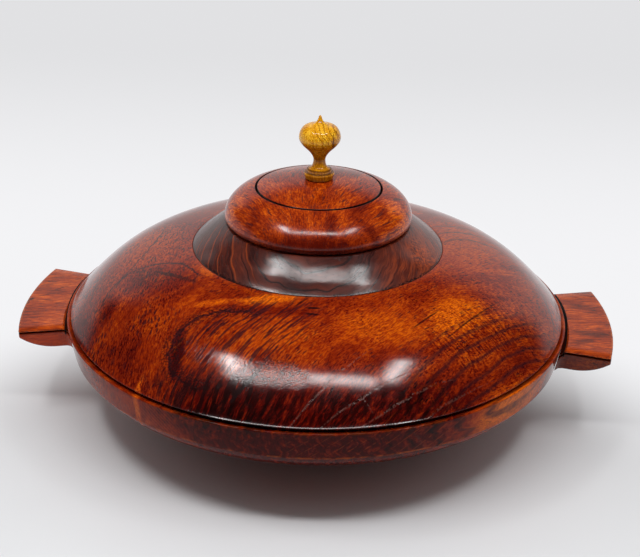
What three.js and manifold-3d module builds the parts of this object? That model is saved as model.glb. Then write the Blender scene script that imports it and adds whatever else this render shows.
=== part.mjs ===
// A two-handled wooden vessel, turned in two halves, with a contrasting collar and a lift-off lid.
// Millimetres, +Z up, origin at the centre of the foot, handles along X.

import * as THREE from 'three';
import { mergeVertices } from 'three/addons/utils/BufferGeometryUtils.js';
import Module from 'manifold-3d';

// Fits and facets
const GAP = 0.3;               // between pieces that are glued or stand on each other
const LID_CLEARANCE = 0.6;     // around the lid's register, on the radius
const BODY_SIDES = 56;         // facets round the body
const LID_SIDES = 48;          // facets round the lid
const FINIAL_SIDES = 28;       // facets round the finial
const LONG_STEPS = 7;          // chords in a long curve
const SHORT_STEPS = 4;         // chords in a short curve
const SAME_POINT = 1e-6;       // two points of an outline nearer than this are one

// Foot and lower bowl
const FOOT_RADIUS = 75;
const FOOT_WALL = 9;           // width of the ring that the vessel stands on
const FOOT_RECESS = 4.5;       // depth of the hollow inside that ring
const FOOT_HEIGHT = 15;        // floor to the bowl's underside
const FOOT_COVE = 3;           // how far the foot's side is drawn in at its top
const BOWL_FLOOR = 7.5;        // thickness of wood over the foot
const BODY_RADIUS = 165;       // rim band, at its top edge
const BAND_TOP = 69;           // floor to the band's top edge
const BAND_HEIGHT = 18.8;
const BAND_TAPER = 3.5;        // how far the band's lower edge is drawn in
const BAND_LEDGE = 1.5;        // step from the band's lower edge to the underside
const BAND_CHAMFER = 0.6;
const BODY_WALL = 15;          // band to the inside, at the rim
const UNDERSIDE_FULLNESS = 0.32;
const INSIDE_FULLNESS = 0.4;

// Joint between the two halves: a rebate inside, a V-groove outside
const TONGUE_WALL = 3;
const TONGUE_DEPTH = 5;
const GROOVE_DEPTH = 4;        // V-groove, from the band's edge inward
const GROOVE_DROP = 1.2;       // how far the V-groove's lower side falls

// Upper half
const LIP_SETBACK = 2.8;       // lip inside the band's edge
const LIP_RISE = 1.9;          // lip's top edge above the band's top edge
const LIP_EDGE = 0.5;
const FLARE_WIDTH = 2;         // the small outward flare above the lip
const FLARE_HEIGHT = 1.8;
const FLARE_CORNER = [0.35, 0.2];    // share of the flare's width and height
const DOME_RISE = 43;          // lip to the collar's seat
const DOME_FALL = 0.2;         // slope beside the collar
const DOME_FULLNESS = 0.84;
const DOME_WALL = 8;
const DOME_INSIDE_CORNER = 0.12;   // share of the inside's width and height
const SEAT_DEPTH = 0.9;        // recess that the collar stands in

// Collar
const MOUTH_RADIUS = 49.5;
const SPIGOT_WALL = 13.5;      // collar's spigot, mouth to glue line
const SPIGOT_DEPTH = 7;
const COLLAR_HEIGHT = 17;
const COLLAR_SPREAD = 21.4;    // how much wider the collar is at its foot than at its top
const COLLAR_EDGE = 0.7;       // upright edge at the collar's foot
const COLLAR_REVEAL = 2.3;     // collar's top edge outside the lid's rim
const COLLAR_FLARE = 4;        // how much the mouth opens inward
const COLLAR_LAND = 8.3;       // upright part of the mouth, below its top edge
const COLLAR_CORNER = [0.16, 0.27];  // share of the collar's spread and height

// Lid, its inlaid disc and its seat on the collar
const LID_SEAT = 8.5;          // width of the lid's rim on the collar
const LID_BELLY = 2.9;         // how far the lid swells past its rim
const LID_BELLY_HEIGHT = 4.4;
const LID_SHOULDER = 19.6;     // belly to the groove round the disc
const LID_SHOULDER_HEIGHT = 22.6;
const LID_CORNER = 0.3;        // share of the belly, and of the shoulder, at the curve's corner
const REGISTER_DEPTH = 7.3;
const REGISTER_LAND = 6;       // flat ring round the dished underside
const REGISTER_DISH = 2;
const DISC_DEPTH = 5.6;        // recess for the disc, below the groove's edge
const DISC_RISE = 5.9;         // groove to the finial's seat
const DISC_GROOVE = 0.8;       // width of each side of the V-groove
const DISC_GROOVE_DEPTH = 1.4;
const DISC_CORNER = 0.55;      // share of the disc's radius where its crown turns

// Finial: each height is measured from the one before it
const FINIAL_BASE = 8.9;
const FINIAL_FLANGE = 9.9;
const FLANGE_HEIGHT = 4.4;
const FLANGE_ROUND = 0.4;
const FINIAL_CONE = 8.1;       // small ring on the flange
const CONE_HEIGHT = 2;
const COVE_RISE = 0.5;         // the neck's curve leaves the ring almost flat
const FINIAL_NECK = 3.9;
const NECK_HEIGHT = 6.6;
const FINIAL_BULB = 13.35;
const BULB_HEIGHT = 14.2;
const BULB_DRAFT = 0.6;        // how far the curve's corner lies inside the bulb and its top
const FINIAL_SHOULDER = 5.4;
const SHOULDER_HEIGHT = 8.6;
const SPIKE_RADIUS = 0.9;
const SPIKE_FLARE = 0.9;       // the spike's curve turns this far from its side and its foot
const SPIKE_HEIGHT = 5.4;
const SPIKE_TIP = 0.8;
const TENON_RADIUS = 4;
const TENON_LENGTH = 16.5;

// Handles: lugs left by two radial cuts through a ring
const HANDLE_REACH = 31.2;     // outer end, from the body's radius
const HANDLE_HALF_ANGLE = THREE.MathUtils.degToRad(14.5);
const HANDLE_DROP = 5;         // top face below the band's top edge
const HANDLE_NOTCH = 4.5;      // V-notch between the top face and the band
const HANDLE_NOTCH_DEPTH = 4;
const HANDLE_END = 6.4;        // thickness at the outer end
const HANDLE_NECK = 14.6;      // thickness at the band
const PLATE_THICKNESS = 1.1;   // top plate that overhangs the scooped sides
const SCOOP_HEIGHT = 1.7;
const SCOOP_DEPTH = 2.4;
const SIDE_INSET = 1.6;
const SIDE_ROUND = 0.9;
const END_DRAFT = 0.4;
const NECK_FILLET = 5;
const MORTISE_STOP = 6.5;      // wood between the mortise and the bowl's inside
const LUG_TENON_WIDTH = 26;
const LUG_TENON_HEIGHT = 6;

// Heights and radii that follow from the sizes above
const bandLowRadius = BODY_RADIUS - BAND_TAPER;
const bandLowHeight = BAND_TOP - BAND_HEIGHT;
const innerRadius = BODY_RADIUS - BODY_WALL - TONGUE_WALL;
const grooveRadius = BODY_RADIUS - GROOVE_DEPTH - BAND_CHAMFER;
const jointHeight = BAND_TOP - GROOVE_DROP;
const lipRadius = BODY_RADIUS - LIP_SETBACK;
const lipHeight = BAND_TOP + LIP_RISE;
const domeTop = lipHeight + DOME_RISE;
const seatHeight = domeTop - SEAT_DEPTH;
const lidRim = MOUTH_RADIUS + LID_SEAT;
const collarTopRadius = lidRim + COLLAR_REVEAL;
const collarFootRadius = collarTopRadius + COLLAR_SPREAD;
const spigotRadius = MOUTH_RADIUS + SPIGOT_WALL;
const collarBase = seatHeight + GAP;
const lidBase = collarBase + COLLAR_HEIGHT + GAP;
const registerRadius = MOUTH_RADIUS - LID_CLEARANCE;
const bellyRadius = lidRim + LID_BELLY;
const grooveOuter = bellyRadius - LID_SHOULDER;
const discRadius = grooveOuter - DISC_GROOVE;
const finialSeat = LID_SHOULDER_HEIGHT + DISC_RISE;

const OVERRUN = 15;            // how far a cutting shape runs past what it cuts

const wasm = await Module();
wasm.setup();

function at(radius, height) {
  return new THREE.Vector2(radius, height);
}

// Points of a curve that leaves `from` towards `corner` and reaches `to` from it.
function bend(from, corner, to, fullness, steps) {
  const leaving = from.clone().lerp(corner, fullness);
  const arriving = to.clone().lerp(corner, fullness);
  return new THREE.CubicBezierCurve(from, leaving, arriving, to).getPoints(steps);
}

// Turns an outline of radius and height, traced with the wood on its left, about Z.
function turned(outline, sides) {
  const points = outline.filter((point, i) => i === 0 || point.distanceTo(outline[i - 1]) > SAME_POINT);
  if (points[0].x > 0) points.push(points[0].clone());
  return new THREE.LatheGeometry(points, sides).rotateX(Math.PI / 2);
}

function toSolid(geometry) {
  const bare = geometry.clone();
  bare.deleteAttribute('normal');
  bare.deleteAttribute('uv');
  const merged = mergeVertices(bare, 1e-4);
  const corners = merged.index.array;
  const faces = [];
  for (let i = 0; i < corners.length; i += 3) {
    const [a, b, c] = corners.slice(i, i + 3);
    if (a !== b && b !== c && c !== a) faces.push(a, b, c);
  }
  return new wasm.Manifold(new wasm.Mesh({
    numProp: 3,
    vertProperties: new Float32Array(merged.attributes.position.array),
    triVerts: new Uint32Array(faces),
  }));
}

function toGeometry(solid) {
  const { vertProperties, triVerts } = solid.getMesh();
  const geometry = new THREE.BufferGeometry();
  geometry.setAttribute('position', new THREE.BufferAttribute(new Float32Array(vertProperties), 3));
  geometry.setIndex(new THREE.BufferAttribute(new Uint32Array(triVerts), 1));
  geometry.computeVertexNormals();
  return geometry;
}

function boxSolid(length, width, height, centre) {
  return toSolid(new THREE.BoxGeometry(length, width, height).translate(...centre));
}

// Radius of the band's face, and below the band the radius of its lower edge.
function bandRadiusAt(height) {
  const above = Math.max(height - bandLowHeight, 0);
  return bandLowRadius + BAND_TAPER * above / BAND_HEIGHT;
}

// The tenon of the handle on +X, or with a clearance the mortise that takes it.
function lugTenon(clearance) {
  const outer = BODY_RADIUS + HANDLE_NOTCH;
  const inner = innerRadius + MORTISE_STOP + GAP - clearance;
  const centreHeight = (bandLowHeight + BAND_TOP - HANDLE_DROP - HANDLE_NOTCH_DEPTH) / 2;
  return boxSolid(
    outer - inner,
    LUG_TENON_WIDTH + 2 * clearance,
    LUG_TENON_HEIGHT + 2 * clearance,
    [(outer + inner) / 2, 0, centreHeight],
  );
}

function lowerBowlGeometry() {
  const footTop = at(FOOT_RADIUS - FOOT_COVE, FOOT_HEIGHT - FOOT_COVE);
  const underside = at(FOOT_RADIUS, FOOT_HEIGHT);
  const undersideEdge = at(bandLowRadius - BAND_LEDGE, bandLowHeight - BAND_LEDGE / 2);
  const floorEdge = at(FOOT_RADIUS - FOOT_WALL, FOOT_HEIGHT + BOWL_FLOOR);
  const rebate = jointHeight - TONGUE_DEPTH - GAP;
  const outline = [
    at(0, FOOT_RECESS),
    at(FOOT_RADIUS - FOOT_WALL - FOOT_RECESS, FOOT_RECESS),
    at(FOOT_RADIUS - FOOT_WALL, 0),
    at(FOOT_RADIUS - BAND_CHAMFER, 0),
    at(FOOT_RADIUS, BAND_CHAMFER),
    ...bend(at(FOOT_RADIUS, FOOT_COVE), at(FOOT_RADIUS - FOOT_COVE, FOOT_COVE), footTop, 0.55, 2),
    ...bend(underside, at(undersideEdge.x, FOOT_HEIGHT), undersideEdge, UNDERSIDE_FULLNESS, LONG_STEPS),
    at(bandLowRadius, bandLowHeight),
    at(BODY_RADIUS, BAND_TOP - BAND_CHAMFER),
    at(BODY_RADIUS - BAND_CHAMFER, BAND_TOP),
    at(grooveRadius, jointHeight),
    at(innerRadius + TONGUE_WALL + GAP, jointHeight),
    at(innerRadius + TONGUE_WALL + GAP, rebate),
    ...bend(at(innerRadius, rebate), at(innerRadius, floorEdge.y), floorEdge, INSIDE_FULLNESS, LONG_STEPS),
    at(0, floorEdge.y),
  ];
  let bowl = toSolid(turned(outline, BODY_SIDES));
  for (const side of [0, 180]) {
    bowl = bowl.subtract(lugTenon(GAP).rotate([0, 0, side]));
  }
  return toGeometry(bowl);
}

// Heights here start at the underside that meets the lower bowl.
function upperShoulderGeometry() {
  const rise = lipHeight - jointHeight - GAP;
  const lip = at(lipRadius, rise);
  const flareTop = at(lipRadius - FLARE_WIDTH, rise + FLARE_HEIGHT);
  const flareCorner = at(lipRadius - FLARE_WIDTH * FLARE_CORNER[0], rise + FLARE_HEIGHT * FLARE_CORNER[1]);
  const seatEdge = at(collarFootRadius + GAP, rise + DOME_RISE);
  const domeCorner = domeCornerBetween(seatEdge, flareTop, flareCorner);
  const mouth = spigotRadius + GAP;
  const innerTop = at(mouth, rise + DOME_RISE - SEAT_DEPTH - DOME_WALL);
  const innerFoot = at(innerRadius, rise);
  const innerCorner = at(
    innerRadius - (innerRadius - mouth) * DOME_INSIDE_CORNER,
    innerTop.y - (innerTop.y - innerFoot.y) * DOME_INSIDE_CORNER,
  );
  return turned([
    at(innerRadius, -TONGUE_DEPTH),
    at(innerRadius + TONGUE_WALL, -TONGUE_DEPTH),
    at(innerRadius + TONGUE_WALL, 0),
    at(grooveRadius, 0),
    at(lipRadius - LIP_EDGE, rise - 2 * LIP_EDGE),
    at(lipRadius, rise - LIP_EDGE),
    ...bend(lip, flareCorner, flareTop, 0.5, SHORT_STEPS),
    ...bend(flareTop, domeCorner, seatEdge, DOME_FULLNESS, LONG_STEPS + 2).slice(1),
    at(seatEdge.x, seatEdge.y - SEAT_DEPTH),
    at(mouth, seatEdge.y - SEAT_DEPTH),
    ...bend(innerTop, innerCorner, innerFoot, 0.7, LONG_STEPS),
  ], BODY_SIDES);
}

// Where the dome's fall at the collar meets the line of the flare's upper end.
function domeCornerBetween(seatEdge, flareTop, flareCorner) {
  const fallAtFlare = (flareTop.y - flareCorner.y) / (flareCorner.x - flareTop.x);
  const span = flareTop.x - seatEdge.x;
  const run = (seatEdge.y - flareTop.y - DOME_FALL * span) / (fallAtFlare - DOME_FALL);
  return at(flareTop.x - run, flareTop.y + fallAtFlare * run);
}

// Heights here start at the collar's seat on the dome.
function collarGeometry() {
  const foot = at(collarFootRadius, COLLAR_EDGE);
  const top = at(collarTopRadius, COLLAR_HEIGHT);
  const corner = at(
    collarFootRadius - COLLAR_SPREAD * COLLAR_CORNER[0],
    COLLAR_EDGE + (COLLAR_HEIGHT - COLLAR_EDGE) * COLLAR_CORNER[1],
  );
  return turned([
    at(MOUTH_RADIUS + COLLAR_FLARE, -SPIGOT_DEPTH),
    at(spigotRadius, -SPIGOT_DEPTH),
    at(spigotRadius, 0),
    at(collarFootRadius, 0),
    ...bend(foot, corner, top, 0.55, SHORT_STEPS + 1),
    at(MOUTH_RADIUS, COLLAR_HEIGHT),
    at(MOUTH_RADIUS, COLLAR_HEIGHT - COLLAR_LAND),
  ], BODY_SIDES);
}

// Heights of the lid's pieces start at the underside of the lid's rim.
function lidGeometry() {
  const belly = at(bellyRadius, LID_BELLY_HEIGHT);
  const shoulder = at(grooveOuter, LID_SHOULDER_HEIGHT);
  const shoulderCorner = at(
    bellyRadius - LID_BELLY * LID_CORNER,
    LID_SHOULDER_HEIGHT - LID_SHOULDER * LID_CORNER,
  );
  const recess = LID_SHOULDER_HEIGHT - DISC_DEPTH;
  const holeBottom = finialSeat - TENON_LENGTH;
  const underside = REGISTER_DISH - REGISTER_DEPTH;
  return turned([
    at(0, underside),
    at(registerRadius - REGISTER_LAND - REGISTER_DISH, underside),
    at(registerRadius - REGISTER_LAND, -REGISTER_DEPTH),
    at(registerRadius, -REGISTER_DEPTH),
    at(registerRadius, 0),
    ...bend(at(lidRim, 0), at(bellyRadius, LID_BELLY_HEIGHT * LID_CORNER), belly, 0.55, SHORT_STEPS),
    ...bend(belly, shoulderCorner, shoulder, 0.62, LONG_STEPS + 1).slice(1),
    at(grooveOuter - DISC_GROOVE + GAP / 2, LID_SHOULDER_HEIGHT - DISC_GROOVE_DEPTH),
    at(grooveOuter - DISC_GROOVE + GAP / 2, recess),
    at(TENON_RADIUS + GAP, recess),
    at(TENON_RADIUS + GAP, holeBottom),
    at(0, holeBottom),
  ], LID_SIDES);
}

function lidDiscGeometry() {
  const base = LID_SHOULDER_HEIGHT - DISC_DEPTH + GAP;
  const edge = at(discRadius - DISC_GROOVE, LID_SHOULDER_HEIGHT + GAP);
  const seat = at(FINIAL_BASE + GAP, finialSeat);
  const corner = at(discRadius * DISC_CORNER, finialSeat - GAP);
  return turned([
    at(TENON_RADIUS + GAP, base),
    at(discRadius - GAP / 2, base),
    at(discRadius - GAP / 2, LID_SHOULDER_HEIGHT - DISC_GROOVE_DEPTH),
    ...bend(edge, corner, seat, 0.6, SHORT_STEPS + 1),
    at(TENON_RADIUS + GAP, finialSeat),
  ], LID_SIDES);
}

// Heights here start at the underside of the finial's flange.
function finialGeometry() {
  const coneTop = at(FINIAL_CONE, FLANGE_HEIGHT + CONE_HEIGHT);
  const neck = at(FINIAL_NECK, coneTop.y + NECK_HEIGHT);
  const bulb = at(FINIAL_BULB, neck.y + BULB_HEIGHT);
  const cup = neck.clone().lerp(bulb, 0.5);
  const shoulder = at(FINIAL_SHOULDER, bulb.y + SHOULDER_HEIGHT);
  const spike = at(SPIKE_RADIUS, shoulder.y + SPIKE_HEIGHT);
  return turned([
    at(0, -TENON_LENGTH),
    at(TENON_RADIUS, -TENON_LENGTH),
    at(TENON_RADIUS, 0),
    at(FINIAL_BASE, 0),
    at(FINIAL_FLANGE, FLANGE_HEIGHT - 2 * FLANGE_ROUND),
    at(FINIAL_FLANGE - FLANGE_ROUND, FLANGE_HEIGHT),
    at(FINIAL_CONE, FLANGE_HEIGHT),
    ...bend(coneTop, at(neck.x, coneTop.y + COVE_RISE), neck, 0.7, SHORT_STEPS),
    ...bend(neck, at(neck.x, neck.y + BULB_HEIGHT * 0.2), cup, 0.6, SHORT_STEPS).slice(1),
    ...bend(cup, at(bulb.x, cup.y + BULB_HEIGHT * 0.3), bulb, 0.7, SHORT_STEPS).slice(1),
    ...bend(bulb, at(bulb.x - BULB_DRAFT, shoulder.y - BULB_DRAFT), shoulder, 0.72, SHORT_STEPS).slice(1),
    ...bend(shoulder, at(spike.x + SPIKE_FLARE, shoulder.y + SPIKE_FLARE), spike, 0.7, SHORT_STEPS - 1).slice(1),
    at(0, spike.y + SPIKE_TIP),
  ], FINIAL_SIDES);
}

// Section of the handle's ring, radius and height, before the two radial cuts.
function lugSection() {
  const top = BAND_TOP - HANDLE_DROP;
  const outer = BODY_RADIUS + HANDLE_REACH;
  const back = top - HANDLE_NOTCH_DEPTH;
  const bottom = top - HANDLE_NECK;
  const end = at(outer - END_DRAFT, top - HANDLE_END);
  const heel = at(bandRadiusAt(bottom) + GAP, bottom);
  return [
    ...bend(heel, at(outer - HANDLE_REACH * 0.4, bottom), end, 0.7, SHORT_STEPS + 1),
    at(outer, top - SIDE_ROUND),
    at(outer - SIDE_ROUND / 3, top),
    at(BODY_RADIUS + HANDLE_NOTCH, top),
    at(bandRadiusAt(back) + GAP + SIDE_ROUND, back),
    at(bandRadiusAt(back) + GAP, back),
    at(heel.x, Math.max(bottom, bandLowHeight)),
  ];
}

// Plan of a handle: two radial sides drawn in by `inset`, with a fillet at the neck when asked for.
function lugPlan(inset, fillet) {
  const along = at(Math.cos(HANDLE_HALF_ANGLE), Math.sin(HANDLE_HALF_ANGLE));
  const across = at(-along.y, along.x);
  const place = (radius, offset) => along.clone().multiplyScalar(radius)
    .addScaledVector(across, offset - inset);
  const neck = BODY_RADIUS + GAP;
  const upper = [place(BODY_RADIUS + HANDLE_REACH + OVERRUN, 0)];
  if (fillet > 0) {
    upper.push(...bend(place(neck + fillet, 0), place(neck, 0), place(neck, fillet), 0.55, SHORT_STEPS));
    upper.push(place(neck - OVERRUN, fillet));
  } else {
    upper.push(place(neck - OVERRUN, 0));
  }
  const lower = upper.map((point) => at(point.x, -point.y)).reverse();
  return new THREE.Shape([...upper, ...lower]);
}

function lugLayer(inset, fillet, bottom, top, round) {
  const layer = new THREE.ExtrudeGeometry(lugPlan(inset + round, fillet), {
    depth: top - bottom - 2 * round,
    bevelEnabled: round > 0,
    bevelThickness: round,
    bevelSize: round,
    bevelSegments: 2,
    curveSegments: 1,
  });
  return toSolid(layer.translate(0, 0, bottom + round));
}

function handleGeometry() {
  const top = BAND_TOP - HANDLE_DROP;
  const bottom = top - HANDLE_NECK;
  const plateBottom = top - PLATE_THICKNESS;
  const sideTop = plateBottom - SCOOP_HEIGHT;
  const plate = lugLayer(0, 0, plateBottom, top + OVERRUN, 0);
  const core = lugLayer(SCOOP_DEPTH, 0, sideTop - SIDE_ROUND, plateBottom + PLATE_THICKNESS / 2, 0);
  const side = lugLayer(SIDE_INSET, NECK_FILLET, bottom - OVERRUN, sideTop, SIDE_ROUND);
  const lug = toSolid(turned(lugSection(), BODY_SIDES));
  return toGeometry(plate.add(core).add(side).intersect(lug).add(lugTenon(0)));
}

const lacqueredWood = { color: 0x8e3416, roughness: 0.28, metalness: 0 };
const lidWood = { color: 0xa8441a, roughness: 0.28, metalness: 0 };
const darkWood = { color: 0x4a2018, roughness: 0.3, metalness: 0 };
const goldenWood = { color: 0xc98a24, roughness: 0.3, metalness: 0 };

function piece(name, geometry, finish, height) {
  const mesh = new THREE.Mesh(geometry, new THREE.MeshStandardMaterial(finish));
  mesh.name = name;
  mesh.position.z = height;
  return mesh;
}

const vessel = new THREE.Group();
vessel.add(piece('lower_bowl', lowerBowlGeometry(), lacqueredWood, 0));
vessel.add(piece('upper_shoulder', upperShoulderGeometry(), lacqueredWood, jointHeight + GAP));
vessel.add(piece('collar_ring', collarGeometry(), darkWood, collarBase));

const rightHandle = piece('handle_right', handleGeometry(), lacqueredWood, 0);
const leftHandle = piece('handle_left', handleGeometry(), lacqueredWood, 0);
leftHandle.rotation.z = Math.PI;
vessel.add(rightHandle, leftHandle);

const lid = new THREE.Group();
lid.position.z = lidBase;
lid.add(piece('lid_body', lidGeometry(), lidWood, 0));
lid.add(piece('lid_disc', lidDiscGeometry(), lidWood, 0));
lid.add(piece('finial', finialGeometry(), goldenWood, finialSeat + GAP));
vessel.add(lid);

export default vessel;
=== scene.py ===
# Two-handled wooden vessel: the visual model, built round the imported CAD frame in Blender 4.5.
# Lengths are metres in the frame's own axes unless a name or comment says millimetres.

import math

import bmesh
import bpy
import numpy as np
from mathutils import Matrix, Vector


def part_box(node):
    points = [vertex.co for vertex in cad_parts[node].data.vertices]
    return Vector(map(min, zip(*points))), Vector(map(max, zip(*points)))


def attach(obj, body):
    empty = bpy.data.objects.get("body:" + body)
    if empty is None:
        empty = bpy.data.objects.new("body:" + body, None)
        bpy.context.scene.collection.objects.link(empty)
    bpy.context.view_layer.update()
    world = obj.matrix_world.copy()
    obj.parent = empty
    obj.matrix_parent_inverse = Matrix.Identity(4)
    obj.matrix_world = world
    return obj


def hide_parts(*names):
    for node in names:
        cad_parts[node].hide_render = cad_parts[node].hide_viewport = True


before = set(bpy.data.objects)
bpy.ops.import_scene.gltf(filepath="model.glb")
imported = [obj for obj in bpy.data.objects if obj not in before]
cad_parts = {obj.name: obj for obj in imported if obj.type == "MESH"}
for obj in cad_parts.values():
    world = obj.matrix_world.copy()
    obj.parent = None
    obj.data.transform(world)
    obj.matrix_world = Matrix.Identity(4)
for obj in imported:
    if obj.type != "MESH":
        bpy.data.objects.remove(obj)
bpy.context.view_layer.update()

MM = 0.001
SAME_PLACE = 1e-6  # points nearer to each other than this, in metres, are one
CORNER_TURN = math.radians(26.5)  # an outline that turns more than this at a point has a corner there
CHORD_RATIO = 6  # and one whose chords differ more than this in length starts a new curve there
SHARP_EDGE = math.radians(38)
BODY_SIDES = 240
LID_SIDES = 192
KNOB_SIDES = 96
CURVE_STEPS = 4  # new stretches between two outline points on a smooth curve
ROUND_STEPS = 4


# Outlines of the turned pieces

def half_section(node):
    """Outline of a turned CAD node where it crosses the plane X = 0: radius and height of each point."""
    mesh = bmesh.new()
    mesh.from_mesh(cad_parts[node].data)
    bmesh.ops.remove_doubles(mesh, verts=mesh.verts, dist=SAME_PLACE)
    everything = mesh.verts[:] + mesh.edges[:] + mesh.faces[:]
    cut = bmesh.ops.bisect_plane(
        mesh, geom=everything, plane_co=(0, 0, 0), plane_no=(1, 0, 0), dist=SAME_PLACE
    )
    neighbours = {}
    for item in cut["geom_cut"]:
        if isinstance(item, bmesh.types.BMEdge) and min(v.co.y for v in item.verts) > -SAME_PLACE:
            one, other = ((round(v.co.y, 6), round(v.co.z, 6)) for v in item.verts)
            neighbours.setdefault(one, []).append(other)
            neighbours.setdefault(other, []).append(one)
    mesh.free()
    here = min(neighbours, key=lambda point: (len(neighbours[point]), point))
    path = [here]
    while True:
        ahead = [point for point in neighbours[here] if point not in path]
        if not ahead:
            break
        here = ahead[0]
        path.append(here)
    closed = len(neighbours[path[0]]) > 1
    return np.array(path), closed


def turn_at(before, here, after):
    """How far the outline turns at a point, in radians."""
    first = here - before
    second = after - here
    cross = first[0] * second[1] - first[1] * second[0]
    return abs(math.atan2(cross, first @ second))


def parts_at(before, here, after):
    """Whether the smooth curve of an outline ends at a point."""
    chords = sorted((np.linalg.norm(here - before), np.linalg.norm(after - here)))
    return turn_at(before, here, after) > CORNER_TURN or chords[1] > CHORD_RATIO * chords[0]


def spline(points):
    """A smooth cubic spline through all the points, over the length of the chords."""
    count = len(points)
    if count < 3:
        return points
    chord = np.linalg.norm(np.diff(points, axis=0), axis=1)
    slope = np.diff(points, axis=0) / chord[:, None]
    system = np.zeros((count, count))
    right = np.zeros((count, 2))
    system[0, :2] = (1, -1)
    system[-1, -2:] = (-1, 1)
    for i in range(1, count - 1):
        system[i, i - 1 : i + 2] = (chord[i - 1], 2 * (chord[i - 1] + chord[i]), chord[i])
        right[i] = 6 * (slope[i] - slope[i - 1])
    bend = np.linalg.solve(system, right)
    made = [points[0]]
    for i in range(count - 1):
        for step in range(1, CURVE_STEPS + 1):
            t = step / CURVE_STEPS
            s = 1 - t
            made.append(
                s * points[i] + t * points[i + 1]
                + chord[i] ** 2 / 6 * ((s**3 - s) * bend[i] + (t**3 - t) * bend[i + 1])
            )
    return np.array(made)


def smooth_outline(points, closed, edge_round):
    """The outline with smooth curves between its corners, and each corner rounded by about edge_round."""
    count = len(points)
    corners = [
        i for i in range(count)
        if (not closed and i in (0, count - 1))
        or parts_at(points[i - 1], points[i], points[(i + 1) % count])
    ]
    if closed:
        points = np.roll(points, -corners[0], axis=0)
        corners = [i - corners[0] for i in corners] + [count]
        points = np.vstack([points, points[:1]])
    stretches = [spline(points[a : b + 1]) for a, b in zip(corners, corners[1:])]
    made = [stretches[0][0]] if not closed else []
    for i, stretch in enumerate(stretches):
        if i > 0 or closed:
            made.extend(rounded_corner(stretches[i - 1], stretch, edge_round))
        made.extend(stretch[1:-1])
    if not closed:
        made.append(stretches[-1][-1])
    return np.array(made)


def rounded_corner(before, after, edge_round):
    """Points of a small round between the stretch that ends at a corner and the one that starts there."""
    corner = after[0]
    arms = []
    for end in (before[-2], after[1]):
        arm = end - corner
        length = np.linalg.norm(arm)
        arms.append(corner + arm / length * min(edge_round, 0.45 * length))
    steps = [i / ROUND_STEPS for i in range(ROUND_STEPS + 1)]
    return [(1 - t) ** 2 * arms[0] + 2 * t * (1 - t) * corner + t * t * arms[1] for t in steps]


# Mesh pieces

def new_object(name, mesh):
    """An object from a bmesh, shaded smooth but for its sharp edges."""
    bmesh.ops.remove_doubles(mesh, verts=mesh.verts, dist=SAME_PLACE / 10)
    bmesh.ops.recalc_face_normals(mesh, faces=mesh.faces)
    for face in mesh.faces:
        face.smooth = True
    data = bpy.data.meshes.new(name)
    mesh.to_mesh(data)
    mesh.free()
    data.set_sharp_from_angle(angle=SHARP_EDGE)
    made = bpy.data.objects.new(name, data)
    bpy.context.scene.collection.objects.link(made)
    return made


def lathe(name, outline, closed, sides):
    """Turns an outline of radius and height round the Z axis."""
    mesh = bmesh.new()
    rings = []
    for radius, height in outline:
        count = 1 if radius < SAME_PLACE else sides
        angles = [2 * math.pi * i / sides for i in range(count)]
        rings.append([
            mesh.verts.new((radius * math.cos(a), radius * math.sin(a), height)) for a in angles
        ])
    pairs = list(zip(rings, rings[1:]))
    if closed:
        pairs.append((rings[-1], rings[0]))
    for lower, upper in pairs:
        for i in range(sides):
            j = (i + 1) % sides
            quad = ((lower, i), (lower, j), (upper, j), (upper, i))
            corners = list(dict.fromkeys(ring[k % len(ring)] for ring, k in quad))
            if len(corners) > 2:
                mesh.faces.new(corners)
    return new_object(name, mesh)


def turned_piece(name, node, body, sides, edge_round, material):
    """A turned piece with the outline of its CAD node."""
    points, closed = half_section(node)
    piece = lathe(name, smooth_outline(points, closed, edge_round), closed, sides)
    piece.data.materials.append(material)
    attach(piece, body)
    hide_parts(node)


def band_edges():
    """Radius and height of the rim band's lower and upper edge, from the bowl's outline."""
    points = half_section("lower_bowl")[0]
    upper = max(points, key=lambda point: point[0])
    below = [point for point in points if point[1] < upper[1] - 5 * MM]
    lower = max(below, key=lambda point: point[0])
    return lower, upper


BAND_LOWER, BAND_UPPER = band_edges()


# Handles. A handle is swept outward from the band: at each share of its reach it has one section.

LUG_HALF_ANGLE = math.radians(14.5)
LUG_NOTCH = 3.4 * MM  # reach of the V-cut at the root of the top face
LUG_NOTCH_DEPTH = 3.4 * MM
LUG_PLATE = 1.1 * MM  # thickness of the top's thin edge above the scoop
LUG_SCOOP = 1.7 * MM  # height of the scoop along each side
LUG_SCOOP_DEPTH = 2.4 * MM
LUG_SIDE_INSET = 1.6 * MM
LUG_FILLET = 5 * MM  # concave neck where the lower part meets the band
LUG_BOTTOM_ROUND = 2.4 * MM
LUG_END = 6.4 * MM  # thickness at the outer end
LUG_END_ROUND = 0.8 * MM
LUG_GAP = 0.3 * MM  # from the band's surface
LUG_COLUMNS = 28
LUG_LEVEL_SHARE = 0.3  # share of the reach over which the underside is level
LUG_RISE_POWER = 2.2  # how late the underside rises beyond that


def band_radius(height):
    """Radius of the bowl's rim band, which leans a little outward, at a height."""
    return np.interp(height, (BAND_LOWER[1], BAND_UPPER[1]), (BAND_LOWER[0], BAND_UPPER[0]))


def lug_underside(share, neck_height, end_height):
    """Height of the handle's underside: level at the neck and rising to the outer end."""
    rise = max(share - LUG_LEVEL_SHARE, 0) / (1 - LUG_LEVEL_SHARE)
    return neck_height + (end_height - neck_height) * rise**LUG_RISE_POWER


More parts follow.
